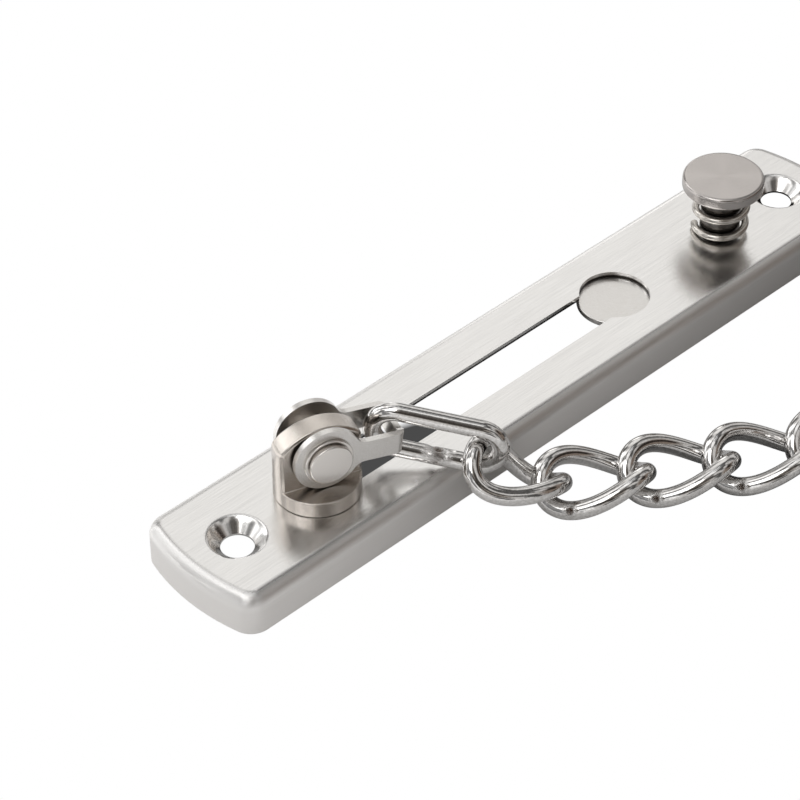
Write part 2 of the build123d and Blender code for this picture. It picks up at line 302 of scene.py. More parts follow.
# %% [markdown]
# ## The brushed plates
# A belt brushes the plates along their length, so the noise here is drawn out two hundred times
# that way. The belt reaches only the top: the bends and walls are satin, and the countersinks are cut
# bright. The foot of each punched edge is painted dark as shade, because the gap behind it is in
# shadow. A painted mask could tell these places apart. Heights and distances from the middle are
# simpler, because the plate is made round the middle of the frame. Each pair of values below is
# where one place begins to fade into the next and where it has done so.

# %% Brushed steel
wall_colour = (0.73, 0.715, 0.70)
painted_gap_shade_colour = (0.03, 0.026, 0.022)
wall_heights = (4.2 * mm, 6.2 * mm)
painted_shade_heights = (6.5 * mm, 6.75 * mm)
cone_heights = (6.95 * mm, 7.1 * mm)
satin_heights = (6.9 * mm, 7.19 * mm)
hairline_heights = (6.9 * mm, 7.15 * mm)
holes_side = (6.4 * mm, 6.8 * mm)
slot_end = (50 * mm, 51 * mm)
cone_end = (67.5 * mm, 68.5 * mm)


def brushed_steel(name, turn=0.0):
    """Hairlines in colour, gloss and height, on a metal that spreads light across them.

    A brushed metal spreads light more across its hairlines than along them, so the shader is
    anisotropic. The direction comes from the plate's own UV map, whose U runs across the hairlines.
    """
    material, shader = steel(name, (0.80, 0.79, 0.775), 0.3)
    shader.inputs["Anisotropic"].default_value = 0.75
    link = material.node_tree.links.new
    fine = pattern(material, "ShaderNodeTexNoise", (30 * mm, 0.14 * mm, 0.14 * mm), turn, Detail=3.0)
    broad = pattern(material, "ShaderNodeTexNoise", (60 * mm, 1.2 * mm, 1.2 * mm), turn, Detail=2.0)
    height = position(material)["Z"]
    away = position(material, unsigned=True)

    def inside(source, limits):
        return fade(material, source, 1.0, 0.0, *limits)

    in_holes = inside(away["Y"], holes_side)
    foot, below_top = inside(height, painted_shade_heights), inside(height, cone_heights)
    # painted shade: the mask for the foot of each punched edge, where the gap behind it is in shadow
    gap = combine(material, "MULTIPLY", in_holes, foot, inside(away["X"], slot_end))
    cone = combine(material, "MULTIPLY", in_holes, below_top, inside(away["X"], cone_end))

    lines = tones(material, fine, (0.74, 0.73, 0.715), (0.86, 0.85, 0.84))
    face = mixed(material, fade(material, height, 0.0, 1.0, *wall_heights), wall_colour, lines)
    # painted shade: the foot of the punched edges takes the near-black colour
    link(mixed(material, gap, face, painted_gap_shade_colour), shader.inputs["Base Color"])

    satin = fade(material, height, 0.22, 0.0, *satin_heights)
    worn = combine(material, "ADD", gloss(material, broad, 0.17, 0.26), satin)
    cut = fade(material, cone, 1.0, 0.35, 0.0, 1.0)
    link(combine(material, "MULTIPLY", worn, cut), shader.inputs["Roughness"])
    on_top = fade(material, height, 0.4, 1.0, *hairline_heights)
    relief = combine(material, "MULTIPLY", fine.outputs["Fac"], on_top)
    bumps(material, shader, relief, 0.18, 0.02 * mm)

    across = material.node_tree.nodes.new("ShaderNodeTangent")
    across.direction_type = "UV_MAP"
    across.uv_map = "hairlines"
    link(across.outputs["Tangent"], shader.inputs["Tangent"])
    return material


chain_angle = 32.2
anchor_turn = np.radians(90 - chain_angle)
plate_finish = brushed_steel("brushed plate")
anchor_finish = brushed_steel("brushed anchor", anchor_turn)
print("finishes:", plate_finish.name, "and", anchor_finish.name)

# %% [markdown]
# ## The polished chain
# A chain is polished by tumbling it in a drum, which leaves it bright with soft waves. Its welds
# stay burnt: the mesh has a value called weld, and round it small pits are brown and duller. A
# second material on the faces of the weld would end in a hard line, and a value fades.


# %% Polished steel
def polished_steel(name):
    """Soft waves all over, and dark pits round the weld."""
    material, shader = steel(name, (0.72, 0.71, 0.70), 0.08)
    link = material.node_tree.links.new
    wave = pattern(material, "ShaderNodeTexNoise", (2.2 * mm,) * 3, Detail=2.0)
    speck = pattern(material, "ShaderNodeTexNoise", (0.35 * mm,) * 3, Detail=3.0)
    pits = pattern(material, "ShaderNodeTexNoise", (0.3 * mm,) * 3, Detail=2.0)
    close = material.node_tree.nodes.new("ShaderNodeAttribute")
    close.attribute_name = "weld"
    deep = fade(material, pits.outputs["Fac"], 0.0, 1.0, 0.40, 0.52)
    pit = combine(material, "MULTIPLY", close.outputs["Fac"], deep)

    bright = tones(material, wave, (0.60, 0.585, 0.57), (0.80, 0.79, 0.78))
    burnt = fade(material, pit, 0.0, 0.95, 0.2, 0.6)
    link(mixed(material, burnt, bright, (0.13, 0.08, 0.05)), shader.inputs["Base Color"])

    dull = fade(material, pit, 0.0, 0.12, 0.0, 1.0)
    worn = combine(material, "ADD", gloss(material, speck, 0.05, 0.09), dull)
    link(worn, shader.inputs["Roughness"])
    low = bumps(material, shader, wave.outputs["Fac"], 0.12, 0.06 * mm)
    bumps(material, shader, pit, 0.8, 0.2 * mm, low)
    return material


chain_finish = polished_steel("polished chain")
print("finish:", chain_finish.name)

# %% [markdown]
# ## Turned steel and strap
# The button, the pin and the stud come off a lathe, whose tool leaves rings round the axis. Cutting
# the rings into the mesh would take very many faces, so a bump shows them. The shackle is cut from
# strap and tumbled, which leaves dents and short scratches.


# %% Turned steel and strap
def turned_steel(name, place, colour, shaded_below=0.0):
    """Fine rings of the lathe tool, centred on the piece's own axis, and painted shade below a height.
    """
    material, shader = steel(name, colour, 0.22)
    link = material.node_tree.links.new
    if shaded_below:
        # painted shade: below the height the colour is darkened, for the shade under the button's head
        painted_shade_colour = tuple(0.3 * value for value in colour)
        height = position(material)["Z"]
        lit = fade(material, height, 0.0, 1.0, shaded_below - 0.2 * mm, shaded_below)
        link(mixed(material, lit, painted_shade_colour, colour), shader.inputs["Base Color"])
    size = (0.35 * mm,) * 3
    rings = pattern(material, "ShaderNodeTexWave", size, place=place, Distortion=1.5, Detail=2.0)
    rings.wave_type = "RINGS"
    rings.rings_direction = "Z"
    grain = pattern(material, "ShaderNodeTexNoise", (0.25 * mm,) * 3, Detail=3.0)
    link(gloss(material, grain, 0.14, 0.24), shader.inputs["Roughness"])
    low = bumps(material, shader, rings.outputs["Fac"], 0.12, 0.02 * mm)
    bumps(material, shader, grain.outputs["Fac"], 0.25, 0.02 * mm, low)
    return material


def strap_steel(name):
    """Blanked strap, tumbled: satin, with shallow dents and a few short scratches."""
    material, shader = steel(name, (0.74, 0.72, 0.70), 0.26)
    link = material.node_tree.links.new
    dents = pattern(material, "ShaderNodeTexNoise", (0.9 * mm,) * 3, Detail=3.0)
    scratch = pattern(material, "ShaderNodeTexNoise", (1.6 * mm, 0.12 * mm, 0.12 * mm), 0.5, Detail=2.0)
    link(gloss(material, scratch, 0.2, 0.36), shader.inputs["Roughness"])
    link(tones(material, dents, (0.66, 0.64, 0.61), (0.79, 0.775, 0.76)), shader.inputs["Base Color"])
    low = bumps(material, shader, dents.outputs["Fac"], 0.25, 0.03 * mm)
    bumps(material, shader, scratch.outputs["Fac"], 0.12, 0.02 * mm, low)
    return material


strap_finish = strap_steel("strap")
print("finish:", strap_finish.name)

# %% [markdown]
# ## The pressed plates
# Both plates are pressed from sheet. They could be modelled again with finer bends, but their
# solids already have every bend and hole in its place. So a copy has its triangles joined and is
# shaded smoothly over the bends, and its flat face stays flat because large faces weigh most
# where a bend begins.


# %% Smooth copy of a solid
def joined_copy(node, name, edge=0.0):
    """The node's own triangles joined into whole flat faces, smooth over bends, sharp at cut edges.

    Where edge is given, each cut edge gets a narrow round, which catches the light as the edge of
    a pressed or milled piece does.
    """
    mesh = nodes[node].data.copy()
    mesh.name = name
    mesh.materials.clear()
    work = bmesh.new()
    work.from_mesh(mesh)
    bmesh.ops.remove_doubles(work, verts=work.verts, dist=1e-6)
    bmesh.ops.dissolve_limit(work, angle_limit=np.radians(0.3), verts=work.verts, edges=work.edges)
    work.to_mesh(mesh)
    work.free()
    if mesh.has_custom_normals:
        mesh.normals_split_custom_set([(0.0, 0.0, 0.0)] * len(mesh.loops))
    mesh.shade_smooth()
    mesh.set_sharp_from_angle(angle=np.radians(28))
    piece = bpy.data.objects.new(name, mesh)
    bpy.context.scene.collection.objects.link(piece)
    if edge:
        bevel = piece.modifiers.new("broken edges", "BEVEL")
        bevel.width = edge
        bevel.segments = 3
        bevel.limit_method = "ANGLE"
        bevel.angle_limit = np.radians(40)
    return even_shading(piece)


print("triangles of the track plate's solid:", len(nodes["track_plate"].data.polygons))

# %% [markdown]
# ## Which way the hairlines run
# The brushed finish asks the mesh for the direction across its hairlines, which a UV map can carry.
# An unwrap in Blender would turn each face its own way. Two plain formulas keep the direction
# the same all over the plate, also down its walls. The lock plate and the staple have no hairlines.


# %% Plates, lock plate and staple
def hairline_map(piece, turn=0.0):
    """UV map for brushed metal: U runs across the hairlines and V along them.

    Across is the distance to the side in plan plus the height, so that it also changes on the
    upright walls, and along is the distance along the hairlines less half the height.
    """
    corners = np.empty(len(piece.data.loops), dtype=int)
    piece.data.loops.foreach_get("vertex_index", corners)
    points = np.empty(len(piece.data.vertices) * 3)
    piece.data.vertices.foreach_get("co", points)
    x, y, z = points.reshape(-1, 3)[corners].T
    across = y * np.cos(turn) - x * np.sin(turn) + z
    along = x * np.cos(turn) + y * np.sin(turn) - z / 2
    map_size = 50 * mm
    layer = piece.data.uv_layers.new(name="hairlines")
    layer.uv.foreach_set("vector", (np.stack([across, along], axis=1) / map_size).ravel())
    return piece


track_skin = hairline_map(joined_copy("track_plate", "track_plate_skin"))
fit(track_skin, "track_plate", plate_finish)
fit(joined_copy("lock_plate", "lock_plate_skin", 0.3 * mm), "lock_plate", strap_finish)
anchor_skin = hairline_map(joined_copy("anchor_plate", "anchor_plate_skin"), anchor_turn)
fit(anchor_skin, "anchor_plate", anchor_finish)
fit(joined_copy("anchor_staple", "anchor_staple_skin", 0.12 * mm), "anchor_staple", chain_finish)

# %% [markdown]
# ## Wire
# A chain link and the button's spring are bent from round wire. A curve with a round bevel would
# do for both. Here two directions square to the path carry a circle at each of its steps, and the
# circles one after another are the skin, so that a weld can push the skin's points out.


# %% Wire along a path
def wire(name, path, across, radius, closed=True, sides=36, lump=None):
    """Skin of round wire.

    A point of the skin is the path's point plus the radius times (cosine of the angle round the
    wire in one direction square to the path, plus sine of it in the other). The second direction
    is across, with the part that runs along the path taken off. Where lump is given, each point
    of the skin stands out further by that share of the radius.
    """
    if closed:
        ahead = np.roll(path, -1, axis=0) - np.roll(path, 1, axis=0)
    else:
        ahead = np.gradient(path, axis=0)
    ahead = ahead / np.linalg.norm(ahead, axis=1, keepdims=True)
    second = across - ahead * np.sum(across * ahead, axis=1, keepdims=True)
    second = second / np.linalg.norm(second, axis=1, keepdims=True)
    first = np.cross(second, ahead)
    turn = np.linspace(0, 2 * np.pi, sides, endpoint=False)[None, :, None]
    ring = first[:, None, :] * np.cos(turn) + second[:, None, :] * np.sin(turn)
    skin = path[:, None, :] + ring * radius
    if lump is not None:
        skin = skin + ring * radius * lump(skin)[..., None]
    return surface(name, skin, closed_along=closed)


wire_radius = 1.5 * mm
long_wire_radius = 1.46 * mm
print("wire of the chain in mm:", 2 * wire_radius / mm)

# %% [markdown]
# ## Welds
# Each link is closed by a weld, which leaves small beads and pits. They could be sculpted by hand.
# Here each one is a bell curve of the distance from its middle, high for a bead and low for a pit,
# so that it can be moved by typing a number. How close a point is to the weld is kept on the mesh
# for the finish.


# %% Weld beads and pits
def bells(points, middles, reach, heights):
    """Sum of bell curves: each height times e to the power of minus (distance over reach) squared."""
    total = np.zeros(points.shape[:-1])
    for middle, height in zip(middles, heights):
        total += height * np.exp(-np.sum((points - middle) ** 2, axis=-1) / reach**2)
    return total


def mark(piece, middle, reach):
    """Keep on each point how close it is to the weld, from 0 to 1."""
    points = np.empty(len(piece.data.vertices) * 3)
    piece.data.vertices.foreach_get("co", points)
    near_weld = bells(points.reshape(-1, 3), [middle], reach, [1.0])
    close = piece.data.attributes.new("weld", "FLOAT", "POINT")
    close.data.foreach_set("value", near_weld.astype(np.float32))


one_away = np.array([[1.0, 0.0, 0.0]])
print("a bell's share of its height at its reach:", bells(one_away, [np.zeros(3)], 1.0, [1.0]).round(2))

# %% [markdown]
# ## Where a link lies
# The frame holds each link as a solid, not as numbers. Its place could be typed again, but then it
# would be wrong as soon as the solid moves. A link looks the same after half a turn about any of
# its three axes, so the directions in which its skin spreads most and second most are exactly its
# length and its width.


# %% Middle and axes of a link
def link_axes(node):
    """Middle, length, width and thickness directions of a link.

    The middle is the mean of the triangles' middles, each weighed by its area. The directions are
    the eigenvectors of their spread about it, from the largest to the smallest.
    """
    mesh = nodes[node].data
    points = np.empty(len(mesh.vertices) * 3)
    mesh.vertices.foreach_get("co", points)
    corners = np.empty(len(mesh.polygons) * 3, dtype=int)
    mesh.polygons.foreach_get("vertices", corners)
    triangles = points.reshape(-1, 3)[corners.reshape(-1, 3)]
    middles = triangles.mean(axis=1)
    one_side, other_side = triangles[:, 1] - triangles[:, 0], triangles[:, 2] - triangles[:, 0]
    area = np.linalg.norm(np.cross(one_side, other_side), axis=1)
    middle = np.average(middles, axis=0, weights=area)
    spread = np.einsum("n,ni,nj->ij", area, middles - middle, middles - middle)
    directions = np.linalg.eigh(spread)[1]
    length, width = directions[:, 2], directions[:, 1]
    return middle, length, width, np.cross(length, width)


print("middle of the first link in mm:", (link_axes("chain_link_01")[0] / mm).round(1))

# %% [markdown]
# ## Curb links
# A curb link starts as an oval and is twisted by about a quarter turn, so that it lies flat
# against its neighbours. A twist modifier could do it, but it would squeeze the round wire. Here
# the path is twisted before the wire is laid on it: from one end to the other, the plane of the
# oval turns steadily. Three of the links show the crater of their weld, with a bead beside it. Its
# place is typed in two steps: from the link's middle to the wire, and from there to the skin.

# %% Path of a curb link
curb_half_length = 8.5 * mm
curb_half_width = 5.4 * mm
curb_fullness = 0.16
curb_twist = np.radians(82.0)


def curb_path(axes, steps=400):
    """Wire of a curb link and the direction across its plane.

    Along the length the wire is at a cosine, and its distance to the side is a sine, made fuller
    by a share of the cosine squared. The side direction rolls in proportion to the place along
    the length.
    """
    middle, length, width, thick = axes
    turn = np.linspace(0, 2 * np.pi, steps, endpoint=False)[:, None]
    along = curb_half_length * np.cos(turn)
    side = curb_half_width * np.sin(turn) * (1 + curb_fullness * np.cos(turn) ** 2)
    roll = -curb_twist / 2 * np.cos(turn)
    outward = width * np.cos(roll) + thick * np.sin(roll)
    across = thick * np.cos(roll) - width * np.sin(roll)
    return middle + length * along + outward * side, across


print("twist of a curb link in degrees:", round(np.degrees(curb_twist)))

# %% Curb links
curb_weld = np.array([-6.4, -0.95, -1.85]) * mm
crater_side = np.array([-0.77, -0.81, 0.99]) * mm
bead_side = np.array([0.62, -0.45, 0.1]) * mm
crater_reach = 0.42 * mm
crater_and_bead = [-0.36, 0.26]
crater_stain = 0.6 * mm
curb_welds_seen = (3, 4, 5)

for k in range(2, 7):
    node = f"chain_link_{k:02d}"
    axes = link_axes(node)
    path, across = curb_path(axes)
    place = path[np.argmin(np.linalg.norm(path - axes[0] - curb_weld, axis=1))] + crater_side

    def pit_and_bead(points):
        return bells(points, [place, place + bead_side], crater_reach, crater_and_bead)

    lump = pit_and_bead if k in curb_welds_seen else None
    skin = wire(f"curb_link_{k:02d}", path, across, wire_radius, sides=48, lump=lump)
    if lump:
        mark(skin, place, crater_stain)
    fit(skin, node, chain_finish)

# %% [markdown]
# ## Long links
# The first link, which hangs in the shackle, and the last one are plain: two half circles and two
# straight bars. A Bezier curve would only come near half a circle, so the path is drawn from the
# circle's own formula. Their weld is a rough band of many small beads and pits.

# %% Path of a long link
long_length = 20.2 * mm
long_width = 7.3 * mm


def long_path(axes, bow_steps=60, bar_steps=110):
    """Wire of a long link and the direction across its plane.

    Each bow is half a circle round a point on the middle line, and each bar is a straight line
    between the bows' ends.
    """
    middle, length, width, thick = axes
    bend = long_width / 2
    reach = long_length / 2 - bend
    turn = np.linspace(-np.pi / 2, np.pi / 2, bow_steps)
    bow = np.stack([reach + bend * np.cos(turn), bend * np.sin(turn)], axis=1)
    share = np.linspace(0, 1, bar_steps + 2)[1:-1]
    bar = np.stack([reach * (1 - 2 * share), np.full(bar_steps, bend)], axis=1)
    flat = np.vstack([bow, bar, -bow, -bar])
    path = middle + flat[:, :1] * length + flat[:, 1:] * width
    return path, np.broadcast_to(thick, path.shape)


print("long link outside in mm:", round((long_length + 2 * long_wire_radius) / mm, 1))

# %% Long links
weld_lumps = 40
weld_half_length = 1.1 * mm
lump_reach = 0.45 * mm
deepest_pit = -0.3
highest_bead = 0.13
weld_stain = 1.4 * mm
chance = np.random.default_rng(5)

for node in ("chain_link_01", "chain_link_07"):
    axes = link_axes(node)
    path, across = long_path(axes)
    low_bar = axes[0] - np.array([0, 0, long_width / 2])
    place = path[np.argmin(np.linalg.norm(path - low_bar, axis=1))]
    turn = chance.uniform(0, 2 * np.pi, (weld_lumps, 1))
    beads = place + axes[1] * chance.normal(0, weld_half_length, (weld_lumps, 1))
    beads = beads + (axes[2] * np.cos(turn) + axes[3] * np.sin(turn)) * wire_radius
    heights = chance.uniform(deepest_pit, highest_bead, weld_lumps)

    def rough_weld(points):
        return bells(points, beads, lump_reach, heights)

    name = node.replace("chain", "long")
    skin = wire(name, path, across, long_wire_radius, sides=48, lump=rough_weld)
    mark(skin, place, weld_stain)
    fit(skin, node, chain_finish)

# %% [markdown]
# ## The button's spring
# A helix of wire between the plate and the button's head pushes the button out again. It could be
# an even helix from a screw modifier, but in the photograph its turns lie nearly level on the side
# that faces the camera, which a formula can do.

# %% Path of the spring
button_low, button_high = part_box("release_button")
button_axis = (button_low + button_high) / 2
spring_low, spring_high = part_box("button_spring")
spring_wire = 0.63 * mm
spring_radius = 4.28 * mm
spring_start = np.radians(130.0)
spring_turns = 2.24
spring_gap = 0.05 * mm
spring_level = 0.8
spring_level_at = np.radians(223.0)


def helix(steps=300):
    """A point goes round the axis at one radius while it rises.

    The rise is even plus a share of a sine of the turn, so that each turn lies nearly level on the
    side that the sine slows, and climbs on the other.
    """
    share = np.linspace(0, 1, steps)[:, None]
    turn = spring_start + 2 * np.pi * spring_turns * share
    climb = turn - spring_level * np.sin(turn - spring_level_at)
    climb = (climb - climb[0]) / (climb[-1] - climb[0])
    low, high = spring_low.z + spring_wire + spring_gap, spring_high.z - spring_wire - spring_gap
    x = button_axis.x + spring_radius * np.cos(turn)
    y = button_axis.y + spring_radius * np.sin(turn)
    return np.hstack([x, y, low + (high - low) * climb])


# %% Spring
spring_finish = turned_steel("spring wire", button_axis, (0.62, 0.59, 0.55))
upright = np.array([[0.0, 0.0, 1.0]])
spring = wire("spring_wire", helix(), upright, spring_wire, closed=False, sides=20)
fit(spring, "button_spring", spring_finish)
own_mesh(spring)

# %% [markdown]
# ## Turned pieces
# The button, the pin and its washers are turned on a lathe, so each is an outline carried round an
# axis. A screw modifier would carry it too, but a grid keeps every turned piece a plain mesh like
# the wire. The lathe hand breaks every sharp corner, which the outline does with a small arc.


# %% Outline with rounded corners, carried round an axis
def broken_corners(corners, radii, steps=6):
    """Outline through corners, each one rounded by an arc that touches both of its sides.

    The arc of a corner starts where the radius, laid against the first side, meets it. It is drawn
    as a curve of the second degree between the two touching points, with the corner as its pull.
    """
    points = np.array(corners, dtype=float)
    outline = [points[:1]]
    for before, corner, after, radius in zip(points[:-2], points[1:-1], points[2:], radii):
        back = (before - corner) / np.linalg.norm(before - corner)
        on = (after - corner) / np.linalg.norm(after - corner)
        share = np.linspace(0, 1, steps)[:, None]
        start, stop = corner + back * radius, corner + on * radius
        outline.append(start * (1 - share) ** 2 + corner * 2 * share * (1 - share) + stop * share**2)
    outline.append(points[-1:])
    return np.vstack(outline)


def turned(name, outline, origin, axis, sides=96):
    """Outline of (radius, height) carried round an axis.

    A point is the origin, plus the axis times the height, plus the radius times a direction that
    goes once round the axis.
    """
    axis = np.array(axis, dtype=float)
    axis = axis / np.linalg.norm(axis)
    first = np.cross(axis, [0.0, 0.0, 1.0] if abs(axis[2]) < 0.9 else [1.0, 0.0, 0.0])
    first = first / np.linalg.norm(first)
    second = np.cross(axis, first)
    turn = np.linspace(0, 2 * np.pi, sides, endpoint=False)[None, :, None]
    round_axis = first * np.cos(turn) + second * np.sin(turn)
    radius, height = outline[:, 0][:, None, None], outline[:, 1][:, None, None]
    points = np.array(origin) + axis * height + round_axis * radius
    return even_shading(surface(name, points))


square_corner = [(0, 0), (1, 0), (1, 1)]
print("points of an outline with one corner:", len(broken_corners(square_corner, [0.1])))

# %% [markdown]
# ## The release button
# A thick head with a rounded rim on a stem, riveted over below the lock plate. It could be built
# from three cylinders, but they would meet in hard lines, and one outline rounds them all. The stem
# stands in the shade of its head, which a darker colour below the head helps.

# %% Release button
head_radius = 6.9 * mm
head_thickness = 2.2 * mm
stem_radius = 3.42 * mm
spigot_radius = 2.2 * mm
rivet_radius = 3.3 * mm
lock_low, lock_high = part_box("lock_plate")
head_top = button_high.z
head_under = head_top - head_thickness
button_outline = broken_corners(
    [
        (0, head_top), (head_radius, head_top), (head_radius, head_under), (stem_radius, head_under),
        (stem_radius, lock_high.z), (spigot_radius, lock_high.z), (spigot_radius, lock_low.z),
        (rivet_radius, lock_low.z), (rivet_radius, button_low.z), (0, button_low.z),
    ],
    np.array([0.7, 0.55, 0.3, 0.01, 0.01, 0.01, 0.05, 0.3]) * mm,
)
button_finish = turned_steel("turned button", button_axis, (0.53, 0.50, 0.48), head_under)
button_foot = (button_axis.x, button_axis.y, 0)
fit(turned("button_turning", button_outline, button_foot, (0, 0, 1)), "release_button", button_finish)

# %% [markdown]
# ## The slider and its shackle
# The slider's stud is turned and then milled flat on two sides, which leaves a tongue. The shackle
# is a strap folded round the pin. Both could be drawn again, but their solids already have the flats
# and the fold, so they keep that shape and only get their edges broken.

# %% Slider and shackle
stud_finish = turned_steel("turned stud", tuple(joints["stud_swivel"]["pos_m"]), (0.62, 0.575, 0.53))
fit(joined_copy("slider_stud", "stud_skin", 0.15 * mm), "slider_stud", stud_finish)
fit(joined_copy("slider_foot", "foot_skin", 0.1 * mm), "slider_foot", stud_finish)
fit(joined_copy("shackle", "shackle_skin", 0.14 * mm), "shackle", strap_finish)

# %% [markdown]
# ## The pin
# The pin joins the shackle to the tongue and has a head at each end. Its place could be typed, but
# it has to turn with the shackle, so it is carried round the axis that the frame gives for the
# shackle's own joint. The two outer faces of the shackle lie at unequal distances from the middle.

# %% Pin
lift = joints["shackle_lift"]
pin_middle = np.array(lift["pos_m"])
pin_axis = -np.array(lift["axis"])
pin_finish = turned_steel("turned pin", tuple(pin_middle), (0.76, 0.73, 0.70))
near_face = 3.58 * mm
far_face = 4.88 * mm
washer_thickness = 0.5 * mm
washer_play = 0.03 * mm
pin_radius = 2.4 * mm
neck_radius = 3.05 * mm
neck_length = 0.3 * mm
pin_head_radius = 3.5 * mm
pin_head_thickness = 0.6 * mm

far_seat = far_face + washer_thickness + washer_play
far_neck = far_seat + neck_length
far_end = far_neck + pin_head_thickness
near_seat = -(near_face + washer_thickness + washer_play)
near_neck = near_seat - neck_length
near_end = near_neck - pin_head_thickness
pin_outline = broken_corners(
    [
        (0, far_end), (pin_head_radius, far_end), (pin_head_radius, far_neck), (neck_radius, far_neck),
        (neck_radius, far_seat), (pin_radius, far_seat), (pin_radius, near_seat),
        (neck_radius, near_seat), (neck_radius, near_neck), (pin_head_radius, near_neck),
        (pin_head_radius, near_end), (0, near_end),
    ],
    np.array([0.25, 0.08, 0.02, 0.02, 0.02, 0.02, 0.02, 0.02, 0.08, 0.25]) * mm,
)
fit(turned("pin_turning", pin_outline, pin_middle, pin_axis), "pivot_pin", pin_finish)

# %% [markdown]
# ## Washers and rivets
# A thin washer lies between each head of the pin and the shackle. A washer is a ring, so its
# outline closes on itself and never meets the axis, and no hole has to be cut with a boolean. The
# rivets of the anchor's staple keep the shape of their solids, like the shackle.

# %% Washers and rivets
washer_bore = 2.45 * mm
washer_radius = 4.0 * mm


def washer_ring(name, low, high):
    """Ring with rounded outer edges: its closed outline is carried round the pin's axis."""
    seam = (washer_bore, (low + high) / 2)
    corners = [(washer_bore, high), (washer_radius, high), (washer_radius, low), (washer_bore, low)]
    outline = broken_corners([seam, *corners, seam], np.array([0.05, 0.15, 0.15, 0.05]) * mm)
    return turned(name, outline, pin_middle, pin_axis)


near_washer = washer_ring("near_washer", -near_face - washer_thickness, -near_face)
far_washer = washer_ring("far_washer", far_face, far_face + washer_thickness)
fit(near_washer, "pivot_washer_near", pin_finish)
fit(far_washer, "pivot_washer_far", pin_finish)
for node in ("anchor_rivet_near", "anchor_rivet_far"):
    fit(joined_copy(node, f"{node}_skin", 0.12 * mm), node, pin_finish)

# %% [markdown]
# ## The floor
# The photograph has no shadow and a white ground that also shows through the slot, which is the
# look of a lit table. Real light enough for that would drown the metal, so the floor answers each
# ray by its kind. The camera sees it white. The metal sees a pale floor with painted shade and a
# little painted glow, which its sides and the chain mirror.

# %% Floor
half_floor = 3.0
floor_height = cad_box[0][2] - 0.2 * mm
ways = ((-1, -1), (1, -1), (1, 1), (-1, 1))
floor_mesh = bpy.data.meshes.new("floor")
floor_corners = [(half_floor * x, half_floor * y, floor_height) for x, y in ways]
floor_mesh.from_pydata(floor_corners, [], [(0, 1, 2, 3)])
floor = bpy.data.objects.new("floor", floor_mesh)
bpy.context.scene.collection.objects.link(floor)
floor_finish = bpy.data.materials.new("pale floor")
floor_finish.use_nodes = True
floor_mesh.materials.append(floor_finish)
print("floor width in m:", 2 * half_floor)

# %% [markdown]
# ## What the metal sees of the floor
# Below the chain and towards the button the table's colour is greyer, which is painted shade, and
# behind the plate and at its left end it glows a little, which is painted light. Cards laid on the
# table would do this in a studio. Here smooth steps over X and Y and a soft oval do, which leave no
# edge in the mirrored picture.


# %% Floor for mirrored rays
def oval(owner, seen_from, centre, radii, turn=0.0):
    """How far a point of the floor is from an oval's middle, where 1 is on the oval itself."""
    tree = owner.node_tree
    stretched = tree.nodes.new("ShaderNodeMapping")
    stretched.vector_type = "TEXTURE"
    stretched.inputs["Location"].default_value = (*centre, 0)
    stretched.inputs["Rotation"].default_value = (0, 0, turn)
    stretched.inputs["Scale"].default_value = (*radii, 1)
    size = tree.nodes.new("ShaderNodeVectorMath")
    size.operation = "LENGTH"
    tree.links.new(seen_from.outputs["Object"], stretched.inputs["Vector"])
    tree.links.new(stretched.outputs["Vector"], size.inputs[0])
    return size.outputs["Value"]


tree = floor_finish.node_tree
matt = tree.nodes["Principled BSDF"]
matt.inputs["Roughness"].default_value = 0.9
matt.inputs["Specular IOR Level"].default_value = 0.0
matt.inputs["Emission Color"].default_value = (1, 1, 1, 1)
chain_middle = (12 * mm, -40 * mm)
chain_reach = (36 * mm, 8.5 * mm)

on_floor = tree.nodes.new("ShaderNodeTexCoord")
plan = position(floor_finish)
from_chain = oval(floor_finish, on_floor, chain_middle, chain_reach, np.radians(-chain_angle))
# painted shadow: the floor's colour is darker in an oval under the chain
painted_chain_shadow = fade(floor_finish, from_chain, 0.3, 1.0, 0.4, 1.0)
# painted shade: the floor's colour darkens towards the button
painted_shade_towards_button = fade(floor_finish, plan["X"], 0.8, 0.3, -20 * mm, 85 * mm)
floor_tone_with_painted_shade = combine(floor_finish, "MULTIPLY", painted_shade_towards_button, painted_chain_shadow)
tree.links.new(floor_tone_with_painted_shade, matt.inputs["Base Color"])
# painted light: the floor glows a little at its left end and behind the plate
painted_left_glow = fade(floor_finish, plan["X"], 0.32, 0.0, -80 * mm, -30 * mm)
painted_back_glow = fade(floor_finish, plan["Y"], 0.0, 0.5, 15 * mm, 30 * mm)
tree.links.new(combine(floor_finish, "ADD", painted_left_glow, painted_back_glow), matt.inputs["Emission Strength"])
print("the floor's mirrored shades are wired:", matt.inputs["Base Color"].is_linked)

# %% [markdown]
# ## What the camera sees of the floor
# In the photograph the ground seen through the slot is white, but dark grey right beside the
# slider. A shadow can't fall on a floor that glows, so a dark oval stands in for it. It is measured
# from the slider's body, and so it moves along with the slider.

# %% Floor for the camera
spot_middle = (-28 * mm, 0.0)
spot_reach = (15 * mm, 8 * mm)
beside_slider = tree.nodes.new("ShaderNodeTexCoord")
beside_slider.object = frame["bodies"]["slider"]
dark_spot = oval(floor_finish, beside_slider, spot_middle, spot_reach)
glow = tree.nodes.new("ShaderNodeEmission")
tree.links.new(fade(floor_finish, dark_spot, 0.07, 1.0, 0.85, 1.05), glow.inputs["Strength"])
ray = tree.nodes.new("ShaderNodeLightPath")
either = tree.nodes.new("ShaderNodeMixShader")
tree.links.new(ray.outputs["Is Camera Ray"], either.inputs["Fac"])
tree.links.new(matt.outputs["BSDF"], either.inputs[1])
tree.links.new(glow.outputs["Emission"], either.inputs[2])
tree.links.new(either.outputs["Shader"], tree.nodes["Material Output"].inputs["Surface"])
print("the dark spot rides on:", beside_slider.object.name)

# %% [markdown]
# ## The room
# Polished steel shows little of its own colour and much of the room. A photographed room would
# light it well, but it would be a picture from elsewhere. Here the room is grey, with soft bright
# and dim patches in named directions and a mottle like that of things standing about.

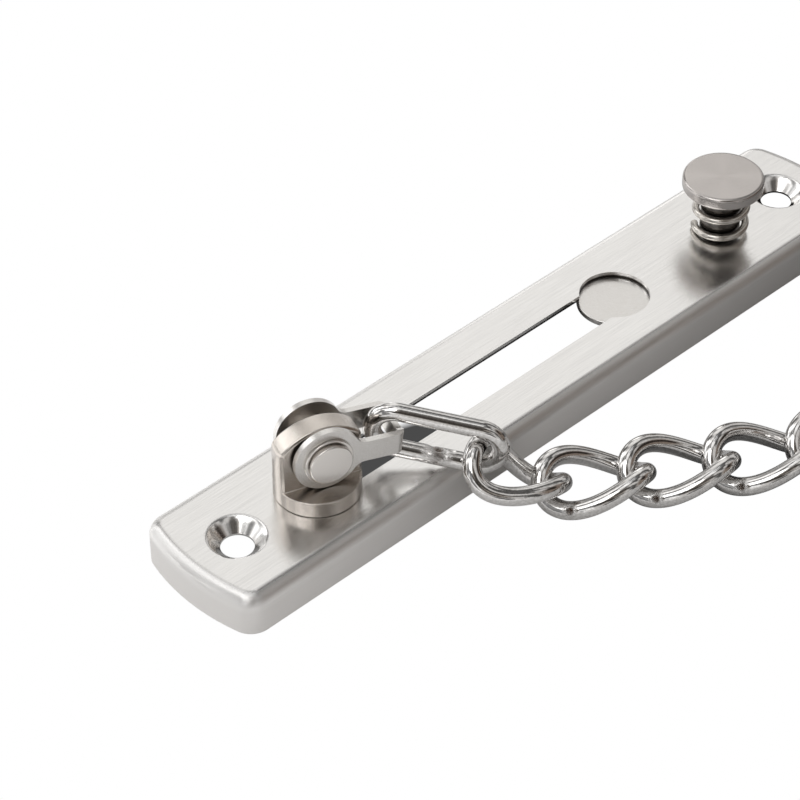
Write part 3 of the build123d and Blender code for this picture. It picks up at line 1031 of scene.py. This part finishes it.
# %% Light of the room
world = bpy.data.worlds.new("studio")
bpy.context.scene.world = world
world.use_nodes = True
tree = world.node_tree
direction = tree.nodes.new("ShaderNodeTexCoord").outputs["Generated"]
room_grey = (0.50, 0.49, 0.48)
room_patches = {
    "high on the left": ((-0.54, 0.45, 0.71), 0.76, 0.93, (1.15, 1.14, 1.13)),
    "left of the camera": ((-0.95, -0.15, 0.35), 0.88, 0.96, (1.2, 1.2, 1.2)),
    "low behind the set": ((0.50, 0.86, 0.02), 0.85, 0.96, (1.2, 1.19, 1.17)),
    "overhead": ((0.1, 0.1, 1.0), 0.90, 0.97, (0.9, 0.9, 0.9)),
    "lamp behind on the left": ((-0.41, 0.84, 0.36), 0.88, 0.97, (1.6, 1.6, 1.6)),
    "dark, low on the right": ((0.68, -0.68, 0.18), 0.80, 0.93, (0.16, 0.13, 0.11)),
    "dim, at the camera": ((-0.45, -0.60, 0.62), 0.88, 0.96, (0.22, 0.20, 0.18)),
}
panel_for_the_tops = ((0.49, 0.60, 0.63), 0.92, 0.985, (1.06, 1.05, 1.03))


def patch(under, towards, edge, core, colour):
    """Lay a soft round patch over the room. Edge and core are cosines of the angle to its middle."""
    dot = tree.nodes.new("ShaderNodeVectorMath")
    dot.operation = "DOT_PRODUCT"
    dot.inputs[1].default_value = Vector(towards).normalized()
    tree.links.new(direction, dot.inputs[0])
    inside = fade(world, dot.outputs["Value"], 0.0, 1.0, edge, core)
    return mixed(world, inside, under, colour)


look = room_grey
for place_and_colour in room_patches.values():
    look = patch(look, *place_and_colour)
print("patches:", ", ".join(room_patches))

# %% Mottle of the room and the panel over the tops
things = tree.nodes.new("ShaderNodeTexNoise")
things.noise_dimensions = "4D"
things.inputs["W"].default_value = 0.0
things.inputs["Scale"].default_value = 2.8
things.inputs["Detail"].default_value = 1.0
tree.links.new(direction, things.inputs["Vector"])
mottle = tree.nodes.new("ShaderNodeVectorMath")
mottle.operation = "SCALE"
tree.links.new(look, mottle.inputs["Vector"])
tree.links.new(fade(world, things.outputs["Fac"], 0.22, 1.45, 0.43, 0.57), mottle.inputs["Scale"])
look = patch(mottle.outputs["Vector"], *panel_for_the_tops)
background = tree.nodes["Background"]
background.inputs["Strength"].default_value = 1.0
tree.links.new(look, background.inputs["Color"])
print("the room's nodes:", len(tree.nodes))

# %% [markdown]
# ## The key light
# A softbox is a lamp behind a large white cloth, so its shadows are soft. A point lamp would give
# hard ones. One square area light does for it, above the camera and a little to its left, turned
# towards the plate.

# %% Key light
key_data = bpy.data.lights.new("key", "AREA")
key_data.size = 0.4
key_data.energy = 1.2
key = bpy.data.objects.new("key", key_data)
key.location = (-0.45, -0.10, 0.70)
key.rotation_euler = (-key.location).to_track_quat("-Z", "Y").to_euler()
bpy.context.scene.collection.objects.link(key)
bpy.context.scene.view_settings.view_transform = "Standard"
